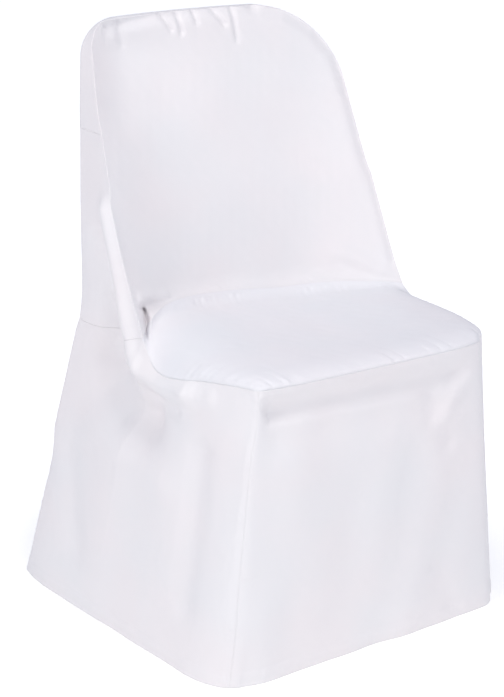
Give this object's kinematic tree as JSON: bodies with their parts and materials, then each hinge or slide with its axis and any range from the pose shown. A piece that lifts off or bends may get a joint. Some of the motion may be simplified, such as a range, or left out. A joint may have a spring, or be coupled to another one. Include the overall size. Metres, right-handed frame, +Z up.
{
  "type": "fitted folding chair cover",
  "caption": "Full-length fitted white cloth cover for a folding chair: rounded back with side gussets, seat panel and skirt that falls to the floor.",
  "frame": {"origin": "middle of the cover's footprint, on the floor, at the level of the hem", "axes": "+X to the left hand of someone seated on the chair, +Y towards the back of the chair, so the seat faces -Y, +Z up from the floor"},
  "size_m": [0.588, 0.5377, 0.8608],
  "materials": {
    "white_polyester": "smooth white polyester satin with a soft sheen and a fine plain weave"
  },
  "bodies": {
    "root": {"inside_back": "white_polyester", "seat": "white_polyester", "front_skirt": "white_polyester", "side_skirt_left": "white_polyester", "side_skirt_right": "white_polyester", "rear_panel": "white_polyester", "gusset_left": "white_polyester", "gusset_right": "white_polyester", "top_band": "white_polyester"}
  },
  "joints": []
}
